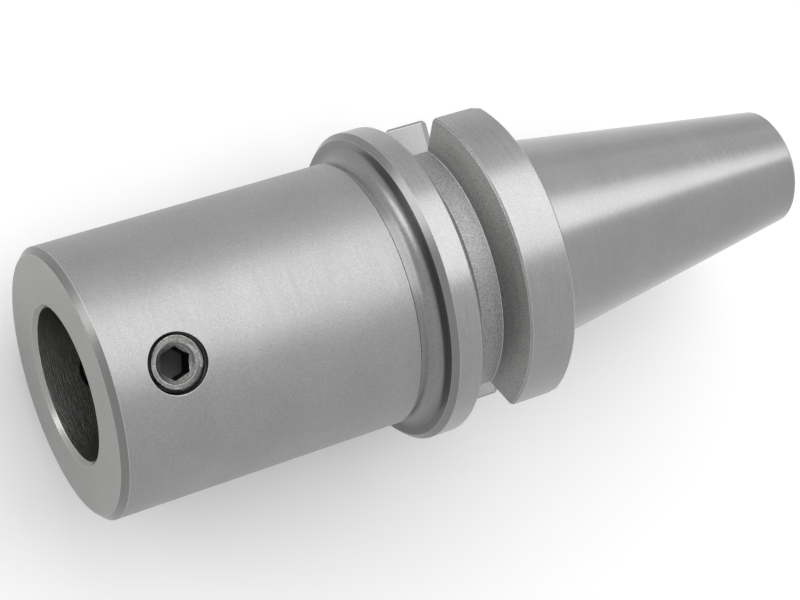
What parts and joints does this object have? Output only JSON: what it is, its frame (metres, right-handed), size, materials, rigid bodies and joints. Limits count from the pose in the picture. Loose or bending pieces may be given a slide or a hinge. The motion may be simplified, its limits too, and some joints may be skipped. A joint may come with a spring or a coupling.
{
  "type": "boring head holder",
  "caption": "Boring head holder: steep-taper shank with pull stud thread, gripper flange with drive slots, and a round body with a ground bore and radial clamping screw.",
  "frame": {"origin": "centre of the gauge plane of the taper, on the holder's axis", "axes": "+X along the axis to the small end of the taper, +Z out along the clamping screw, drive slots on the +Y and -Y sides; it lies on its flange"},
  "size_m": [0.1184, 0.046, 0.046],
  "materials": {
    "holder_steel": "satin ground steel",
    "screw_steel": "blackened steel, bare at the socket's rim",
    "pin_steel": "ground steel"
  },
  "bodies": {
    "holder": {"holder_body": "holder_steel", "counter_screw": "screw_steel", "drive_pin": "pin_steel"},
    "clamp_screw": {"clamp_screw": "screw_steel"}
  },
  "joints": [
    {"name": "clamp_screw_travel", "type": "slide", "parent": "holder", "child": "clamp_screw", "axis": [0, 0, 1], "range_m": [-0.003, 0.0009]}
  ]
}
